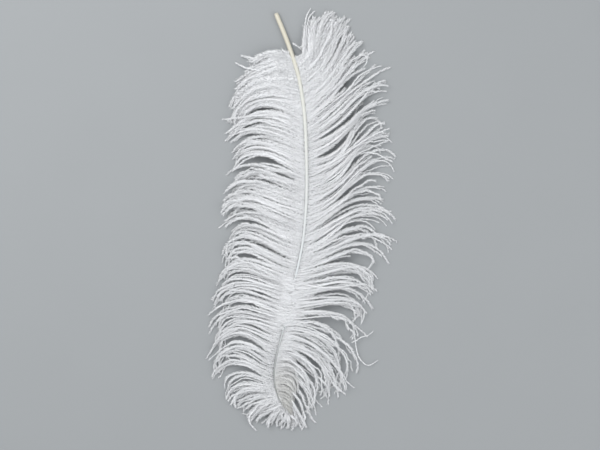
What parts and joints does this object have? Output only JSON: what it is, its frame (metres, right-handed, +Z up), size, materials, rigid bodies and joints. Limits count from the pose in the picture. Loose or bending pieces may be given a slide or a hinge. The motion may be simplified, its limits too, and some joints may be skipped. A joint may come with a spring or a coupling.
{
  "type": "ostrich feather",
  "caption": "Full white ostrich plume lying on a surface: a bare cream quill end, a curving tapering shaft and a broad soft vane of drooping barbs on each side.",
  "frame": {"origin": "centre of the plume's outline, on the surface it lies on", "axes": "+Z up from the surface, +Y along the plume towards the bare quill end, +X towards the right-hand vane seen from above"},
  "size_m": [0.248, 0.5722, 0.0205],
  "materials": {
    "quill": "satin keratin, cream at the bare end and whiter towards the tip",
    "barbs": "soft matt cool white down on fine barbs"
  },
  "bodies": {
    "root": {"shaft": "quill", "vane_left": "barbs", "vane_right": "barbs"}
  },
  "joints": []
}
